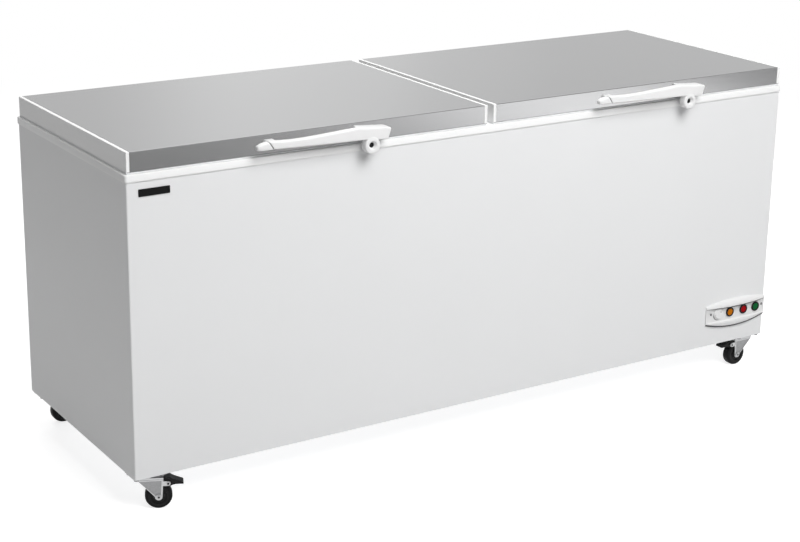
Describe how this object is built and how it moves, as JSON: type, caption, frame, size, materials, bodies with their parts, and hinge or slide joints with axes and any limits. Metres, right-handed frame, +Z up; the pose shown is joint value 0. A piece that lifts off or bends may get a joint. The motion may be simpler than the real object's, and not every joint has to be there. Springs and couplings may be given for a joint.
{
  "type": "chest freezer",
  "caption": "White two-lid chest freezer on castors, with steel-topped insulated lids, bar handles with locks, a lamp panel and its own cooling machine",
  "frame": {"origin": "on the floor, under the middle of the freezer's bounding box", "axes": "+X to the right seen from the front, front towards -Y, +Z up"},
  "size_m": [2.006, 0.7272, 0.889],
  "materials": {
    "white_paint": "semi-gloss powder coat",
    "galvanised_steel": "galvanised",
    "insulation": "rigid foam",
    "liner_white": "coated sheet",
    "aluminium": "drawn",
    "copper": "drawn copper",
    "rim_white": "satin moulded",
    "panel_white": "satin moulded",
    "handle_white": "gloss moulded",
    "lid_steel": "brushed along the lid",
    "gasket_grey": "soft vinyl",
    "black_plastic": "fine grained",
    "lock_black": "gloss",
    "amber_lens": "clear lens",
    "red_lens": "clear lens",
    "green_lens": "clear lens",
    "hinge_steel": "zinc plated",
    "spring_steel": "drawn wire",
    "compressor_black": "semi-gloss",
    "black_rubber": "matt",
    "castor_zinc": "zinc plated",
    "castor_tyre": "matt",
    "screw_steel": "polished",
    "grille_white": "semi-gloss"
  },
  "bodies": {
    "cabinet": {"front_panel": "white_paint", "left_side_panel": "white_paint", "right_side_panel": "white_paint", "back_panel": "white_paint", "base_pan": "galvanised_steel", "fan_motor": "galvanised_steel", "insulation_foam": "insulation", "inner_liner": "liner_white", "evaporator_tube": "aluminium", "condenser": "aluminium", "refrigerant_pipes": "copper", "top_rim": "rim_white", "centre_mullion": "rim_white", "control_panel": "panel_white", "lamp_bezels": "black_plastic", "badge_plate": "black_plastic", "thermostat_body": "black_plastic", "cord_gland": "black_plastic", "amber_lamp": "amber_lens", "red_lamp": "red_lens", "green_lamp": "green_lens", "hinge_brackets": "hinge_steel", "hinge_pins": "hinge_steel", "lock_keepers": "hinge_steel", "hinge_springs": "spring_steel", "compressor": "compressor_black", "compressor_feet": "black_rubber", "castor_plates": "castor_zinc", "castor_bolts": "castor_zinc", "cover_screws": "screw_steel", "rear_grille": "grille_white"},
    "left_lid": {"left_lid_skin": "lid_steel", "left_lid_core": "insulation", "left_lid_end_caps": "rim_white", "left_lid_inner_panel": "rim_white", "left_lid_gasket": "gasket_grey", "left_lid_handle": "handle_white", "left_lid_hinge_arms": "hinge_steel"},
    "left_lock": {"left_lock_cylinder": "lock_black"},
    "right_lid": {"right_lid_skin": "lid_steel", "right_lid_core": "insulation", "right_lid_end_caps": "rim_white", "right_lid_inner_panel": "rim_white", "right_lid_gasket": "gasket_grey", "right_lid_handle": "handle_white", "right_lid_hinge_arms": "hinge_steel"},
    "right_lock": {"right_lock_cylinder": "lock_black"},
    "knob": {"thermostat_knob": "panel_white"},
    "fan": {"condenser_fan": "black_plastic"},
    "castor_front_left": {"castor_fork_front_left": "castor_zinc"},
    "wheel_front_left": {"castor_wheel_front_left": "castor_tyre"},
    "brake_front_left": {"brake_pedal_front_left": "black_plastic"},
    "castor_front_right": {"castor_fork_front_right": "castor_zinc"},
    "wheel_front_right": {"castor_wheel_front_right": "castor_tyre"},
    "brake_front_right": {"brake_pedal_front_right": "black_plastic"},
    "castor_rear_left": {"castor_fork_rear_left": "castor_zinc"},
    "wheel_rear_left": {"castor_wheel_rear_left": "castor_tyre"},
    "castor_rear_right": {"castor_fork_rear_right": "castor_zinc"},
    "wheel_rear_right": {"castor_wheel_rear_right": "castor_tyre"}
  },
  "joints": [
    {"name": "left_lid_hinge", "type": "hinge", "parent": "cabinet", "child": "left_lid", "pos_m": [-0.503, 0.35515, 0.848], "axis": [-1, 0, 0], "range_deg": [0, 80]},
    {"name": "left_lock_turn", "type": "hinge", "parent": "left_lid", "child": "left_lock", "pos_m": [-0.372, -0.36285, 0.837], "axis": [0, -1, 0], "range_deg": [0, 90]},
    {"name": "right_lid_hinge", "type": "hinge", "parent": "cabinet", "child": "right_lid", "pos_m": [0.503, 0.35515, 0.848], "axis": [-1, 0, 0], "range_deg": [0, 80]},
    {"name": "right_lock_turn", "type": "hinge", "parent": "right_lid", "child": "right_lock", "pos_m": [0.634, -0.36285, 0.837], "axis": [0, -1, 0], "range_deg": [0, 90]},
    {"name": "knob_turn", "type": "hinge", "parent": "cabinet", "child": "knob", "pos_m": [0.821, -0.32735, 0.185], "axis": [0, 1, 0], "range_deg": [-176, 94]},
    {"name": "fan_spin", "type": "hinge", "parent": "cabinet", "child": "fan", "pos_m": [0.904, -0.13735, 0.2135], "axis": [1, 0, 0], "continuous": true},
    {"name": "front_left_swivel", "type": "hinge", "parent": "cabinet", "child": "castor_front_left", "pos_m": [-0.958, -0.29335, 0.082], "axis": [0, 0, 1], "continuous": true},
    {"name": "front_left_roll", "type": "hinge", "parent": "castor_front_left", "child": "wheel_front_left", "pos_m": [-0.93059, -0.30555, 0.033], "axis": [0.4067, 0.9135, 0], "continuous": true},
    {"name": "front_left_brake", "type": "hinge", "parent": "castor_front_left", "child": "brake_front_left", "pos_m": [-0.90958, -0.31491, 0.0665], "axis": [0.4067, 0.9135, 0], "range_deg": [0, 12]},
    {"name": "front_right_swivel", "type": "hinge", "parent": "cabinet", "child": "castor_front_right", "pos_m": [0.958, -0.29335, 0.082], "axis": [0, 0, 1], "continuous": true},
    {"name": "front_right_roll", "type": "hinge", "parent": "castor_front_right", "child": "wheel_front_right", "pos_m": [0.928, -0.29335, 0.033], "axis": [0, -1, 0], "continuous": true},
    {"name": "front_right_brake", "type": "hinge", "parent": "castor_front_right", "child": "brake_front_right", "pos_m": [0.905, -0.29335, 0.0665], "axis": [0, -1, 0], "range_deg": [0, 12]},
    {"name": "rear_left_swivel", "type": "hinge", "parent": "cabinet", "child": "castor_rear_left", "pos_m": [-0.958, 0.30365, 0.082], "axis": [0, 0, 1], "continuous": true},
    {"name": "rear_left_roll", "type": "hinge", "parent": "castor_rear_left", "child": "wheel_rear_left", "pos_m": [-0.928, 0.30365, 0.033], "axis": [0, 1, 0], "continuous": true},
    {"name": "rear_right_swivel", "type": "hinge", "parent": "cabinet", "child": "castor_rear_right", "pos_m": [0.958, 0.30365, 0.082], "axis": [0, 0, 1], "continuous": true},
    {"name": "rear_right_roll", "type": "hinge", "parent": "castor_rear_right", "child": "wheel_rear_right", "pos_m": [0.928, 0.30365, 0.033], "axis": [0, -1, 0], "continuous": true}
  ]
}
